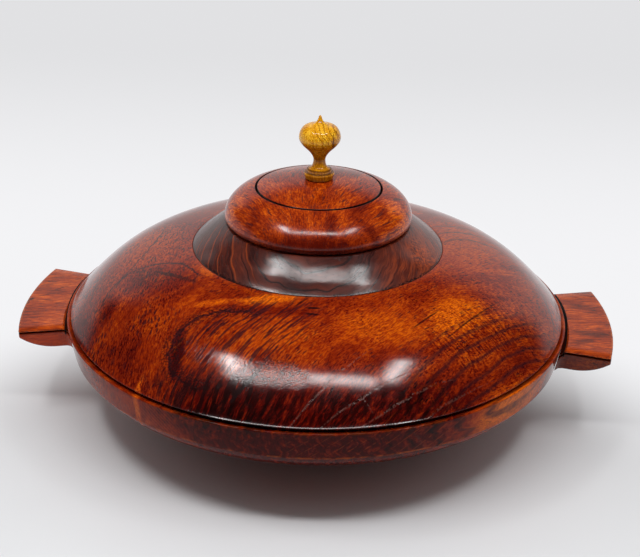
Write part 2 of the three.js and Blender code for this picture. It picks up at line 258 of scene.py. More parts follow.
def lug_side(top, floor, neck, end):
    """One side of a section, from the top edge down: how far each point lies inward, and its height."""
    plate_foot = top - LUG_PLATE
    scoop_foot = plate_foot - LUG_SCOOP
    crisp = 0.3 * MM
    inset = LUG_SIDE_INSET
    points = [(crisp, top), (crisp / 3, top - crisp / 4), (0, top - crisp)]
    points += [(0, plate_foot + crisp / 2), (crisp / 2, plate_foot)]
    for i in range(1, 6):
        a = math.pi * (0.5 - i / 6)
        points.append((
            LUG_SCOOP_DEPTH * math.cos(a) ** 0.6 + inset * i / 12,
            (plate_foot + scoop_foot) / 2 + LUG_SCOOP / 2 * math.sin(a),
        ))
    shoulder = 0.7 * MM
    for i in range(4):
        a = math.pi / 2 * i / 3
        points.append((
            inset + shoulder * (1 - math.sin(a)) - neck,
            scoop_foot - shoulder * (1 - math.cos(a)),
        ))
    low = min(floor + LUG_BOTTOM_ROUND, scoop_foot - shoulder)
    points.append((inset - neck, (scoop_foot - shoulder + low) / 2))
    for i in range(6):
        a = math.pi / 2 * i / 5
        points.append((
            inset + LUG_BOTTOM_ROUND * (1 - math.cos(a)) - neck,
            low - (low - floor) * math.sin(a),
        ))
    return [(s + end, min(max(z, floor + end), top - end * 0.5)) for s, z in points]


def lug_shares(reach):
    """Shares of the reach that have a section: closest together in the neck and at the end."""
    notch = LUG_NOTCH / reach
    shares = [0, notch * 0.5, notch]
    shares += [LUG_FILLET / reach * k for k in (0.75, 0.9, 1.05)]
    shares += [0.2 + 0.075 * k for k in range(10)]
    shares += [1 - LUG_END_ROUND / reach * (1 - math.sin(math.pi / 8 * k)) for k in range(5)]
    return sorted(shares)


def round_inset(radius, beyond):
    """How far a quarter round has drawn in at a distance beyond its start."""
    return radius - math.sqrt(max(radius**2 - max(beyond, 0) ** 2, 0))


def lug_loops():
    """Rings of points for the right-hand handle, from the band outward."""
    low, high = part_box("handle_right")
    neck_height = low[2]
    outer, top_height = high[0], high[2]
    reach = outer - band_radius(top_height) - LUG_GAP
    loops = []
    for share in lug_shares(reach):
        out = share * reach
        top = top_height - LUG_NOTCH_DEPTH * max(1 - out / LUG_NOTCH, 0)
        floor = lug_underside(share, neck_height, top_height - LUG_END)
        neck = round_inset(LUG_FILLET, LUG_FILLET - out)
        end = round_inset(LUG_END_ROUND, out - (reach - LUG_END_ROUND))
        side = lug_side(top, floor, neck, end)
        ring = lug_ring(side, top - end * 0.5, floor + end)
        loops.append([lug_point(share, turn, inward, z, outer) for turn, inward, z in ring])
    return loops


def lug_ring(side, top, floor):
    """One closed section: across the top, down one side, back along the bottom and up the other side."""
    deepest = LUG_BOTTOM_ROUND + LUG_SCOOP_DEPTH + LUG_SIDE_INSET + LUG_END_ROUND
    across = [1 - 2 * i / LUG_COLUMNS for i in range(LUG_COLUMNS + 1)]
    ring = [(-share, deepest, top) for share in across]
    ring += [(1, inward, z) for inward, z in side]
    ring += [(share, deepest, floor) for share in across]
    ring += [(-1, inward, z) for inward, z in reversed(side)]
    return ring


def lug_point(share, turn, inward, height, outer):
    """Place of a point inward of the side plane; turn runs from -1 to 1 across the handle."""
    root = band_radius(height) + LUG_GAP
    radius = root + share * (outer - root)
    angle = turn * (LUG_HALF_ANGLE - math.asin(inward / radius))
    return (radius * math.cos(angle), radius * math.sin(angle), height)


def lug(name, node, turn, material):
    """A handle: its loops joined to a skin, closed at both ends, and turned to its side."""
    mesh = bmesh.new()
    loops = [[mesh.verts.new(point) for point in loop] for loop in lug_loops()]
    count = len(loops[0])
    for inner, outer in zip(loops, loops[1:]):
        for i in range(count):
            j = (i + 1) % count
            mesh.faces.new((inner[i], inner[j], outer[j], outer[i]))
    for loop in (loops[0], loops[-1]):
        close_lug_end(mesh, loop)
    bmesh.ops.rotate(mesh, verts=mesh.verts, cent=(0, 0, 0), matrix=Matrix.Rotation(turn, 3, "Z"))
    piece = new_object(name, mesh)
    piece.data.materials.append(material)
    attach(piece, "vessel")
    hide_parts(node)


def close_lug_end(mesh, loop):
    """Closes a section with one strip across and one face at each side."""
    columns = LUG_COLUMNS + 1
    half = len(loop) // 2
    top = loop[:columns]
    side = loop[columns:half]
    bottom = loop[half : half + columns]
    far_side = loop[half + columns :]
    for i in range(LUG_COLUMNS):
        mesh.faces.new((top[i], top[i + 1], bottom[-i - 2], bottom[-i - 1]))
    mesh.faces.new([top[-1], *side, bottom[0]])
    mesh.faces.new([bottom[-1], *far_side, top[0]])


# Shaders

def colour(red, green, blue):
    """A colour given as it looks on screen, 0 to 255, as the linear colour that a shader takes."""
    def linear(value):
        share = value / 255
        return share / 12.92 if share <= 0.04045 else ((share + 0.055) / 1.055) ** 2.4
    return (linear(red), linear(green), linear(blue), 1)


# The figure of the wood counts heights in millimetres from a level 53 mm below the handles' top faces.
FIGURE_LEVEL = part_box("handle_right")[1][2] - 53 * MM


def top_of(node):
    """Height of the top of a CAD node as the figure counts it."""
    return (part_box(node)[1][2] - FIGURE_LEVEL) / MM


def reach_of(node):
    """How far a CAD node reaches out from the turning axis, in millimetres."""
    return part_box(node)[1][0] / MM


class Shader:
    """The nodes of a material, a lamp or the world, with short calls to make them."""

    def __init__(self, owner):
        owner.use_nodes = True
        self.owner = owner
        self.nodes = owner.node_tree.nodes
        self.links = owner.node_tree.links
        self.surface = self.nodes.get("Principled BSDF")

    def node(self, kind, inputs, **settings):
        made = self.nodes.new("ShaderNode" + kind)
        for key, value in settings.items():
            setattr(made, key, value)
        for key, value in inputs.items():
            self.feed(made.inputs[key], value)
        return made

    def feed(self, socket, value):
        if isinstance(value, bpy.types.NodeSocket):
            self.links.new(value, socket)
        else:
            socket.default_value = value

    def vector(self, operation, first, second):
        return self.node("VectorMath", {0: first, 1: second}, operation=operation).outputs[0]

    def math(self, operation, first, second=0.0, third=0.0):
        return self.node("Math", {0: first, 1: second, 2: third}, operation=operation).outputs[0]

    def times(self, first, second):
        return self.math("MULTIPLY", first, second)

    def scaled(self, value, factor, added):
        return self.math("MULTIPLY_ADD", value, factor, added)

    def most(self, first, second):
        return self.math("MAXIMUM", first, second)

    def gap(self, first, second):
        """How far two values are apart."""
        return self.math("ABSOLUTE", self.math("SUBTRACT", first, second))

    def blend(self, share, first, second):
        """Mixes two values."""
        return self.node("Mix", {0: share, 2: first, 3: second}).outputs[0]

    def mix(self, share, first, second):
        """Mixes two colours."""
        return self.node("Mix", {0: share, 6: first, 7: second}, data_type="RGBA").outputs[2]

    def ease(self, value, low, high, to_low=0.0, to_high=1.0):
        """Runs smoothly from to_low at low to to_high at high."""
        keys = {"Value": value, "From Min": low, "From Max": high, "To Min": to_low, "To Max": to_high}
        return self.node("MapRange", keys, interpolation_type="SMOOTHSTEP").outputs["Result"]

    def noise(self, place, scale=1.0, detail=2.0, roughness=0.5, distortion=0.0):
        keys = {"Vector": place, "Scale": scale, "Detail": detail}
        keys |= {"Roughness": roughness, "Distortion": distortion}
        return self.node("TexNoise", keys).outputs["Fac"]

    def sway(self, place, scale, amount):
        """The place, pushed about by slow noise of about this many millimetres."""
        push = self.node("TexNoise", {"Vector": place, "Scale": scale, "Detail": 1.0}).outputs["Color"]
        centred = self.vector("SUBTRACT", push, (0.5, 0.5, 0.5))
        return self.vector("ADD", place, self.vector("MULTIPLY", centred, (amount,) * 3))

    def along(self, place, degrees, length, width, height=None, centre=(0, 0, 0)):
        """Place in units of length along a direction in plan, of width across it, and of height."""
        keys = {
            "Vector": place,
            "Location": centre,
            "Rotation": (0, 0, math.radians(degrees)),
            "Scale": (length, width, height or width),
        }
        return self.node("Mapping", keys, vector_type="TEXTURE").outputs[0]

    def strands(self, place, degrees, length, width, height, detail, roughness):
        """Noise that is drawn out along a direction in plan."""
        return self.noise(self.along(place, degrees, length, width, height), 1, detail, roughness)

    def length(self, vector):
        return self.node("VectorMath", {0: vector}, operation="LENGTH").outputs["Value"]

    def split(self, vector):
        return self.node("SeparateXYZ", {0: vector}).outputs

    def join(self, x, y, z=0.0):
        return self.node("CombineXYZ", {0: x, 1: y, 2: z}).outputs[0]


class Material(Shader):
    """A material in which places are in millimetres, with heights as the figure counts them.

    Scale and unevenness are those of the noise that makes the edges of its figure ragged.
    """

    def __init__(self, name, scale=1.0, unevenness=0.0):
        super().__init__(bpy.data.materials.new(name))
        here = self.node("TexCoord", {}).outputs["Object"]
        lowered = self.vector("SUBTRACT", here, (0, 0, FIGURE_LEVEL))
        self.place = self.vector("MULTIPLY", lowered, (1 / MM,) * 3)
        self.x, self.y, self.z = self.split(self.place)
        self.ragged = 0.0
        if unevenness:
            noise = self.noise(self.place, scale, 4, 0.65)
            self.ragged = self.scaled(noise, unevenness, -unevenness / 2)

    def radius(self):
        """Distance from the turning axis."""
        return self.length(self.vector("MULTIPLY", self.place, (1, 1, 0)))

    def zone(self, centre, size, degrees=0, soft=0.5, wobble=None, place=None):
        """1 inside an ellipsoid and 0 outside, with a soft edge that wobble makes uneven."""
        here = self.place if place is None else place
        wobble = self.ragged if wobble is None else wobble
        reach = self.math("ADD", self.length(self.along(here, degrees, *size, centre=centre)), wobble)
        return self.ease(reach, 1 + soft / 2, 1 - soft / 2)

    def pores(self, place, degrees, length, width, share, size=0.3, flat=False):
        """1 in the pores along the grain, of which share is kept; flat ones go straight down."""
        cells = self.along(place, degrees, length, width)
        sides = "2D" if flat else "3D"
        made = self.node("TexVoronoi", {"Vector": cells, "Scale": 1.0}, voronoi_dimensions=sides)
        kept = self.math("LESS_THAN", self.split(made.outputs["Color"])[0], share)
        spot = self.ease(made.outputs["Distance"], size, size * 0.35)
        return self.times(kept, spot)

    def areas(self, spots, soft=0.8, wobble=None, place=None):
        """The strongest of several zones, each with a centre, a size, a direction and a strength."""
        share = 0.0
        for centre, size, degrees, strength in spots:
            zone = self.zone(centre, size, degrees, soft, wobble, place)
            share = self.most(share, self.times(zone, strength))
        return share

    def patches(self, tone, bright, dark):
        """Raises a tone in the bright zones and lowers it in the dark ones."""
        kept = self.math("SUBTRACT", 1.0, self.areas(dark, 1.2))
        return self.times(self.most(tone, self.areas(bright, 1.3)), kept)

    def growth_lines(self, distance, spacing, width):
        """1 on thin lines at every spacing of a distance."""
        share = self.math("FRACT", self.math("DIVIDE", distance, spacing))
        return self.ease(self.gap(share, 0.5), width, 0)

    def stained(self, base, layers):
        """Covers the base with other colours in turn: mask, amount and screen colour of each."""
        for mask, amount, screen_colour in layers:
            base = self.mix(self.times(mask, amount), base, colour(*screen_colour))
        return base

    def shades(self, tone, stops):
        """Runs a tone through a few screen colours, given by their positions from 0 to 1."""
        made = self.node("ValToRGB", {"Fac": tone})
        elements = made.color_ramp.elements
        for position in list(stops)[1:-1]:
            elements.new(position)
        for element, (position, screen_colour) in zip(elements, stops.items()):
            element.position = position
            element.color = colour(*screen_colour)
        return made.outputs["Color"]

    def gloss(self, place, scale, low, high):
        """Roughness that changes slowly over the surface."""
        return self.ease(self.noise(place, scale, 2), 0.3, 0.7, low, high)

    def lacquer(self, base, height, gloss, level):
        """Gives the surface its colour, its fine relief in millimetres, and the gloss of lacquer."""
        bump = self.node("Bump", {"Height": height, "Distance": MM}).outputs[0]
        self.feed(self.surface.inputs["Base Color"], base)
        self.feed(self.surface.inputs["Normal"], bump)
        self.feed(self.surface.inputs["Roughness"], gloss)
        self.surface.inputs["Specular IOR Level"].default_value = level
        return self.owner


# The woods. Their shades are screen colours from dark to light, by the tone that they belong to.

BODY_SHADES = {0.0: (12, 0, 0), 0.2: (78, 6, 2), 0.42: (133, 35, 4), 0.62: (170, 65, 6), 1.0: (232, 114, 5)}

BODY_GRAIN = 47  # direction of the grain in front, in degrees in plan
LEFT_GRAIN = 88
BODY_HEART = (113, -30, 80)  # the growth rings on the right close round this place
HEART_TURN = 45  # millimetres along the rings for one radian round the heart

# Figure of the body's wood: centre in millimetres, size, direction in plan in degrees, and strength.
BODY_BRIGHT = [
    ((44, -102, 85), (40, 20, 60), 8, 0.6),
    ((88, -78, 85), (34, 17, 60), 52, 0.7),
    ((-24, -85, 98), (22, 6, 30), 5, 0.8),
    ((-14, -116, 80), (38, 15, 60), 10, 0.56),
    ((-93, -96, 80), (10, 18, 60), -10, 0.52),
    ((-118, -88, 75), (14, 12, 60), -10, 0.44),
    ((-110, 0, 85), (34, 60, 60), 10, 0.56),
    ((95, 20, 85), (40, 60, 60), -10, 0.55),
    ((-66, -50, 95), (6, 14, 30), 30, 0.66),
    ((-58, -86, 95), (20, 4, 30), 5, 0.66),
    ((-97, -131, 64), (11, 3, 60), 72, 0.8),
    ((124, -106, 48), (54, 15, 16), 52, 0.95),
    ((-108, -120, 48), (26, 12, 16), -48, 0.5),
]

BODY_DARK = [
    ((-20, -96, 92), (26, 4, 40), -4, 0.35),
    ((-98, -52, 88), (24, 13, 40), -35, 0.35),
    ((-126, -68, 70), (5, 9, 60), -10, 0.4),
    ((-74, -119, 80), (4, 12, 60), 0, 0.75),
    ((-144, -66, 70), (20, 7, 40), -60, 0.45),
    ((132, -84, 70), (56, 10, 60), 52, 0.25),
    ((-104, -110, 70), (12, 18, 60), 40, 0.25),
    ((38, -128, 80), (34, 7, 60), 22, 0.28),
]

BODY_MARKS = [
    ((-86, -52, 85), (20, 1.8, 40), -35, 0.7),
    ((70, -89.5, 90), (13, 0.6, 40), 53, 0.9),
    ((99, -76, 90), (30, 0.5, 40), 56, 0.8),
    ((3, -92.5, 100), (4, 1.0, 20), 3, 1.0),
    ((3, -98, 100), (4, 0.9, 20), -3, 0.9),
    ((-4, -87, 100), (7, 0.7, 20), 50, 0.9),
    ((-32, -143.5, 74), (11, 1.3, 40), 40, 1.0),
]

# Lines of open pores on the front, written as the marks are.
BODY_CRACKS = [
    ((16, -142, 70), (30, 0.55, 40), 43, 1.0),
    ((39, -143, 70), (33, 0.5, 40), 34, 0.9),
    ((59, -141, 70), (31, 0.5, 40), 35, 0.9),
    ((37, -148, 70), (5, 0.4, 40), -37, 0.8),
    ((86, -132, 70), (30, 0.5, 40), 42, 0.7),
]

# Arched growth lines: centre, size, direction, and the place and reach of the part that shows.
BODY_ARCHES = [
    ((-125, -5, 80), (50, 14, 80), 75, (-112, -10, 80), 42),
    ((-102, -60, 80), (31, 28, 80), 0, (-100, -40, 80), 38),
    ((-48, -118, 80), (31, 24, 80), 0, (-64, -108, 80), 36),
]
ARCH_WIDTHS = (0.06, 0.05, 0.07)  # of their lines, as shares of the arches' sizes
SANDY_ARCH = BODY_ARCHES[2]


def body_regions(wood):
    """Shares of the left, of the right with its arcs, and of the front rim: dark wood and painted shade."""
    left = wood.ease(wood.scaled(wood.ragged, 12, wood.x), -62, -88)
    right = wood.zone((122, 12, 80), (52, 70, 90), -10, 0.7)
    front = wood.zone((14, -165, 60), (104, 50, 60), 0, 0.9)
    outer = reach_of("lower_bowl")
    radius = wood.scaled(wood.ragged, 6, wood.radius())
    rim = wood.times(wood.ease(radius, outer - 25, outer - 15), front)
    return left, right, rim


def figure_place(wood):
    """Place in which the figure hardly changes with height on the dome, but does on the rim band."""
    dome = top_of("lower_bowl") + 1
    below = wood.math("MINIMUM", wood.math("SUBTRACT", wood.z, dome), 0.0)
    return wood.join(wood.x, wood.y, wood.scaled(below, 6, wood.z))


def ring_place(wood, swayed):
    """Place round the heart on the right: along the rings, and across them."""
    offset = wood.along(swayed, 0, 1, 1.45, 40, centre=BODY_HEART)
    x, y = wood.split(offset)[:2]
    turn = wood.times(wood.math("ARCTAN2", y, x), HEART_TURN)
    return wood.join(turn, wood.length(offset))


def by_region(wood, left, right, front_value, left_value, right_value):
    """One value in front, one on the left and one on the right."""
    return wood.blend(right, wood.blend(left, front_value, left_value), right_value)


def body_grain(wood, swayed, rings, left, right):
    """Fine grain from 0 to 1 along the boards: slanting in front, upright on the left, and in rings."""
    slanting = wood.strands(swayed, BODY_GRAIN, 3.0, 0.75, 26, 3, 0.7)
    upright = wood.strands(swayed, LEFT_GRAIN, 2.6, 0.8, 26, 3, 0.7)
    round_heart = wood.strands(rings, 0, 4.5, 0.8, 0.8, 3, 0.7)
    return wood.ease(by_region(wood, left, right, slanting, upright, round_heart), 0.36, 0.64)


def body_tone(wood, swayed, rim):
    """How orange the body's wood is, from 0 for nearly black red to 1."""
    broad = wood.strands(swayed, BODY_GRAIN, 34, 11, 40, 5, 0.64)
    tone = wood.ease(broad, 0.32, 0.7, 0.33, 0.55)
    tone = wood.patches(tone, BODY_BRIGHT, BODY_DARK)
    flames = wood.strands(swayed, 56, 8, 2.4, 30, 4, 0.66)
    # On the front rim the tone sinks to nearly black red: partly dark wood, partly painted shade on the
    # steep front.
    return wood.blend(rim, tone, wood.ease(flames, 0.42, 0.7, 0.05, 0.3))


def near_arch(wood, arch, far, near, wobble=0.0):
    """Rises from 0 at one distance from an arch to 1 at another, both as shares of its size."""
    centre, size, degrees, middle, extent = arch
    reach = wood.length(wood.along(wood.place, degrees, *size, centre=centre))
    reach = wood.scaled(wood.ragged, 0.3, reach)
    shown = wood.zone(middle, (extent, extent, 80), wobble=wobble)
    return wood.times(wood.ease(wood.gap(reach, 1.0), far, near), shown)


def body_lines(wood, swayed, rings, right):
    """Growth lines: arcs on the right, arches on the left, straight lines on the front right."""
    across = wood.split(rings)[1]
    lines = wood.times(wood.growth_lines(across, 9, 0.2), wood.times(right, 0.9))
    slanting = wood.split(wood.along(swayed, 51, 1, 1, 1))[1]
    stripes = wood.growth_lines(wood.scaled(wood.ragged, 1.2, slanting), 6.4, 0.26)
    low_right = wood.zone((100, -106, 66), (74, 26, 60), 50, 0.6)
    lines = wood.most(lines, wood.times(stripes, low_right))
    for arch, width in zip(BODY_ARCHES, ARCH_WIDTHS):
        edge = near_arch(wood, arch, width, 0)
        lines = wood.most(lines, wood.times(edge, 1.3))
    return lines


def body_pits(wood):
    """Sandy pits along one arch and in the highlight in front of it: their mask and relief."""
    along_arch = near_arch(wood, SANDY_ARCH, 0.24, 0.12, wood.ragged)
    in_front = wood.zone((-17, -138, 80), (22, 7, 60), -8, 0.4, wood.times(wood.ragged, 1.5))
    where = wood.most(along_arch, in_front)
    grains = wood.strands(wood.place, 20, 1.3, 0.9, 1.1, 2, 0.6)
    relief = wood.times(wood.math("SUBTRACT", grains, 0.5), where)
    return wood.times(wood.ease(grains, 0.5, 0.55), where), relief


def body_streaks(wood, swayed):
    """Crisp dark streaks along the grain on the front left, and black stripes on the rim below them."""
    streaks = wood.ease(wood.strands(swayed, 51, 21, 1.35, 30, 1, 0.5), 0.525, 0.56)
    front = wood.zone((-32, -110, 84), (42, 25, 60), 24)
    stripes = wood.ease(wood.strands(swayed, 64, 30, 2.8, 30, 2, 0.5), 0.47, 0.51)
    rim = wood.zone((-50, -144, 64), (38, 16, 20), -20)
    return wood.most(wood.times(streaks, front), wood.times(stripes, rim))


def body_dashes(wood, swayed, rings, left, right):
    """Short dark dashes along the grain all over the body, in patches."""
    slanting = wood.pores(swayed, BODY_GRAIN, 8, 1.6, 0.45, 0.34, True)
    upright = wood.pores(swayed, LEFT_GRAIN, 6.5, 2.1, 0.75, 0.42, True)
    curved = wood.pores(rings, 0, 10, 1.7, 0.5, 0.34, True)
    patchy = wood.ease(wood.noise(swayed, 0.05, 3), 0.4, 0.6, 0.1, 1.0)
    return wood.times(by_region(wood, left, right, slanting, upright, curved), patchy)


def pore_lines(wood):
    """Long thin broken lines of open pores that cross the front."""
    broken = wood.ease(wood.noise(wood.place, 0.7, 2), 0.46, 0.54)
    bent = wood.sway(wood.place, 0.05, 3)
    return wood.times(wood.areas(BODY_CRACKS, 0.8, wood.times(wood.ragged, 0.8), bent), broken)


def body_specks(wood, swayed, left):
    """Small dark specks: along the grain in front, and upright in plan on the left."""
    front = wood.ease(wood.strands(swayed, BODY_GRAIN, 1.7, 0.9, 8, 3, 0.72), 0.54, 0.61)
    upright = wood.ease(wood.strands(wood.place, LEFT_GRAIN, 2.2, 1.0, 8, 3, 0.72), 0.52, 0.56)
    patchy = wood.ease(wood.noise(wood.place, 0.045, 3), 0.35, 0.6, 0.3, 1.0)
    return wood.times(wood.blend(left, front, upright), patchy)


def body_veins(wood, swayed, rim):
    """Thin bright lines that curl through the wood in places."""
    field = wood.noise(wood.along(swayed, BODY_GRAIN, 13, 5, 30), 1, 4, 0.62, 0.8)
    line = wood.ease(wood.gap(field, 0.5), 0.014, 0.003)
    patchy = wood.ease(wood.noise(wood.place, 0.05, 2), 0.5, 0.62)
    return wood.times(line, wood.times(patchy, wood.math("SUBTRACT", 1.0, rim)))


def body_ribbons(wood):
    """Short bright flecks across the grain on the right."""
    flecks = wood.ease(wood.strands(wood.place, -34, 5, 1.1, 20, 3, 0.6), 0.46, 0.56, -0.6, 1.0)
    spots = [((100, -82, 75), (38, 18, 60), 50, 1.0), ((124, -50, 75), (20, 28, 60), 0, 0.6)]
    return wood.times(flecks, wood.areas(spots))


def band_stripes(wood):
    """Slanting bright lines on the rim band: thin in front, and close together on the left."""
    uneven = wood.scaled(wood.ragged, 1.6, wood.z)
    thin = wood.growth_lines(wood.scaled(wood.x, -0.78, uneven), 6.5, 0.09)
    front = wood.zone((62, -152, 48), (80, 24, 14), 20, 0.8)
    broken = wood.ease(wood.noise(wood.place, 0.25, 3), 0.42, 0.56)
    close = wood.growth_lines(wood.scaled(wood.x, 1.3, wood.times(uneven, 1.4)), 4, 0.22)
    left = wood.zone((-84, -140, 48), (16, 14, 12), 25, 0.8)
    return wood.most(wood.times(thin, wood.times(front, broken)), wood.times(close, left))


def band_wear(wood):
    """Lighter patches where the edges of the rim band are worn."""
    lower_edge = (BAND_LOWER[1] - FIGURE_LEVEL) / MM
    lower = wood.ease(wood.gap(wood.z, lower_edge + 0.6), 1.0, 0.4)
    upper = wood.ease(wood.gap(wood.z, top_of("lower_bowl") - 0.5), 0.8, 0.3, 0, 0.3)
    patchy = wood.ease(wood.noise(wood.place, 0.12, 4, 0.7), 0.42, 0.62)
    return wood.times(wood.most(lower, upper), patchy)


def body_relief(wood, grain, pores, streaks, cracks, sandy):
    """Relief of the body's grain, pores, streaks, lines of open pores and sandy pits."""
    pits = wood.most(wood.times(pores, 0.08), wood.times(streaks, 0.3))
    pits = wood.most(pits, wood.times(cracks, 0.5))
    relief = wood.scaled(pits, -0.055, wood.times(grain, 0.006))
    return wood.scaled(sandy, -0.11, relief)


def vessel_wood(name, level, contrast):
    """Figured red-brown wood of one half of the body.

    Level is the strength of its reflections, and contrast that of its fine figure.
    """
    wood = Material(name, 0.16, 0.9)
    swayed = wood.sway(figure_place(wood), 0.02, 8)
    left, right, rim = body_regions(wood)
    rings = ring_place(wood, swayed)
    right = wood.times(right, wood.ease(wood.split(rings)[1], 26, 44))
    grain = body_grain(wood, swayed, rings, left, right)
    tone = body_tone(wood, swayed, wood.times(rim, 0.6 + 0.4 * contrast))
    tone = wood.times(tone, wood.ease(left, 0, 1, 1, 0.92))
    tone = wood.times(tone, wood.ease(grain, 0, 1, 1 - 0.26 * contrast, 1 + 0.2 * contrast))
    specks = body_specks(wood, swayed, left)
    tone = wood.times(tone, wood.ease(specks, 0, 1, 1.06, 1 - 0.5 * contrast))
    tone = wood.scaled(body_ribbons(wood), 0.16, tone)
    base = wood.shades(tone, BODY_SHADES)
    base = wood.stained(base, [(body_veins(wood, swayed, rim), 0.45, (206, 88, 6))])

    # On the front rim the dark of the figure goes nearly black, partly as painted shade.
    dark = wood.mix(rim, colour(46, 16, 20), colour(8, 0, 0))
    streaks = body_streaks(wood, swayed)
    dashes = body_dashes(wood, swayed, rings, left, right)
    lines = body_lines(wood, swayed, rings, right)
    for mask, amount in ((lines, 0.72), (streaks, 0.82), (dashes, 0.85 * contrast)):
        base = wood.mix(wood.times(mask, amount), base, dark)

    marks = wood.areas(BODY_MARKS, 0.7, wood.times(wood.ragged, 0.5))
    sandy, sandy_relief = body_pits(wood)
    cracks = pore_lines(wood)
    pores = wood.pores(swayed, BODY_GRAIN, 4, 0.7, 0.4, 0.32, True)
    base = wood.stained(base, [
        (marks, 0.9, (24, 8, 10)),
        (band_stripes(wood), 0.5, (160, 58, 10)),
        (band_wear(wood), 0.5, (186, 84, 24)),
        (sandy, 0.8, (36, 12, 12)),
        # the pale grey of the pore lines is painted glint of light caught in the open pores
        (cracks, 0.55, (96, 62, 54)),
        (pores, 0.35, (40, 12, 10)),
    ])
    relief = body_relief(wood, grain, pores, streaks, cracks, sandy_relief)
    return wood.lacquer(base, relief, wood.gloss(wood.place, 0.09, 0.1, 0.14), level)


HANDLE_SHADES = {0.0: (30, 8, 5), 0.3: (96, 26, 6), 0.6: (164, 58, 10), 1.0: (224, 102, 20)}

# Dark marks on the handles' top faces, written as the figure of the body is.
HANDLE_MARKS = [
    ((-195, -2, 53), (3.4, 1.6, 4), 45, 0.95),
    ((-186, 6, 53), (7, 0.5, 4), 34, 0.8),
    ((-195, -7, 53), (1, 2.6, 4), 0, 0.7),
    ((-178, 18, 53), (5, 0.6, 4), 40, 0.8),
    ((-187, 28, 53), (3, 0.8, 4), 10, 0.6),
    ((182, -16, 53), (12, 4, 4), -8, 0.5),
    ((175, -28, 53), (8, 3, 4), 20, 0.45),
    ((179, 24, 53), (9, 4, 4), 0, 0.35),
]


def notch_shade_line(wood):
    """1 in the painted shade of the V-cut where a handle's top meets the band, thinner towards the front.
    """
    foot = top_of("handle_right") - LUG_NOTCH_DEPTH / MM
    reach = wood.math("SUBTRACT", wood.radius(), reach_of("lower_bowl"))
    beyond = wood.math("SUBTRACT", reach, wood.ease(wood.y, -25, 32, 1.8, 4.4))
    line = wood.times(wood.ease(beyond, 0.3, -0.3), wood.ease(reach, 0.7, 1.1))
    return wood.times(line, wood.ease(wood.z, foot - 2.2, foot - 1.4))


def edge_stains(wood, painted_lower_shading):
    """Painted shading of a handle's lower part, painted shade in its scoop, and its worn outer edge."""
    top = top_of("handle_right")
    plate_foot = top - LUG_PLATE / MM
    scoop_foot = plate_foot - LUG_SCOOP / MM
    # Painted shading below the top: painted light on the left handle, painted shade on the right.
    lower = wood.ease(wood.z, scoop_foot + 0.6, scoop_foot - 0.4)
    uneven = wood.scaled(wood.ragged, 0.8, wood.z)
    # Painted shade in the scoop under the top's thin edge.
    scoop = wood.ease(uneven, scoop_foot - 0.5, scoop_foot + 0.2)
    scoop = wood.times(scoop, wood.ease(wood.z, plate_foot + 0.2, plate_foot - 0.2))
    outer = reach_of("handle_right")
    worn = wood.ease(wood.radius(), outer - 1.6, outer - 0.5)
    worn = wood.times(worn, wood.ease(wood.z, top - 1.4, top - 0.6))
    worn = wood.times(worn, wood.ease(wood.noise(wood.place, 0.3, 3), 0.4, 0.6))
    return [(lower, 0.65, painted_lower_shading), (scoop, 0.9, (24, 2, 2)), (worn, 0.5, (206, 120, 60))]


def handle_wood(name, shift, richness, painted_lower_shading):
    """Handles: orange-brown wood with many short dark lines from the vessel outward.

    A shift in millimetres gives each handle its own figure.
    """
    wood = Material(name, 0.3, 0.8)
    shifted = wood.vector("ADD", wood.place, (0, shift, 0))
    swayed = wood.sway(shifted, 0.03, 5)
    tone = wood.ease(wood.strands(swayed, 4, 40, 12, 10, 3, 0.6), 0.34, 0.66, 0.5, 0.76)
    fine = wood.strands(swayed, 5, 8, 0.75, 1.0, 4, 0.66)
    tone = wood.times(tone, wood.ease(fine, 0.34, 0.66, 1.25, 0.6))
    base = wood.shades(wood.times(tone, richness), HANDLE_SHADES)
    streaks = wood.ease(wood.strands(swayed, 8, 9, 1.1, 2, 3, 0.62), 0.54, 0.63)
    patchy = wood.ease(wood.noise(shifted, 0.06, 2), 0.42, 0.6, 0.2, 1)
    notch = notch_shade_line(wood)
    pores = wood.pores(shifted, 5, 3, 0.45, 0.45)
    base = wood.stained(base, [
        (wood.times(streaks, patchy), 0.75, (50, 26, 24)),
        (wood.areas(HANDLE_MARKS), 0.9, (40, 18, 16)),
        *edge_stains(wood, painted_lower_shading),
        # painted shade in the V-cut at the handle's root
        (notch, 1.0, (6, 0, 0)),
        (pores, 0.6, (44, 18, 14)),
    ])
    relief = wood.scaled(pores, -0.03, wood.times(fine, 0.02))
    gloss = wood.scaled(notch, 0.5, wood.gloss(wood.place, 0.1, 0.14, 0.22))
    return wood.lacquer(base, relief, gloss, 0.3)


COLLAR_SHADES = {0.0: (26, 10, 12), 0.35: (56, 20, 16), 0.65: (88, 34, 22), 1.0: (140, 58, 28)}


def collar_stains(wood, layers, pores):
    """Orange lines on the left, dark lines most in front, a bright patch, pores and a chipped foot."""
    left = wood.zone((-58, -40, 110), (26, 32, 30), 40, 0.9)
    orange_lines = wood.growth_lines(wood.math("ADD", layers, 1.6), 4.6, 0.08)
    front = wood.zone((-2, -70, 110), (52, 26, 30), 0, 0.7)
    dark_lines = wood.growth_lines(wood.math("ADD", layers, 1.7), 3.7, 0.09)
    patch = wood.zone((70, -30, 108), (10, 15, 20), 25, 1.0)
    mottle = wood.ease(wood.noise(wood.place, 0.5, 3, 0.65), 0.42, 0.62)
    foot = reach_of("collar_ring")
    chips = wood.ease(wood.noise(wood.place, 0.5, 3, 0.6), 0.42, 0.56)
    return [
        (wood.times(orange_lines, left), 0.7, (160, 66, 20)),
        (wood.times(dark_lines, wood.ease(front, 0, 1, 0.35, 1)), 0.85, (22, 9, 10)),
        (wood.times(patch, mottle), 0.8, (176, 70, 14)),
        (pores, 0.6, (24, 10, 10)),
        (wood.times(wood.ease(wood.radius(), foot - 1.4, foot - 0.4), chips), 0.8, (20, 8, 8)),
    ]


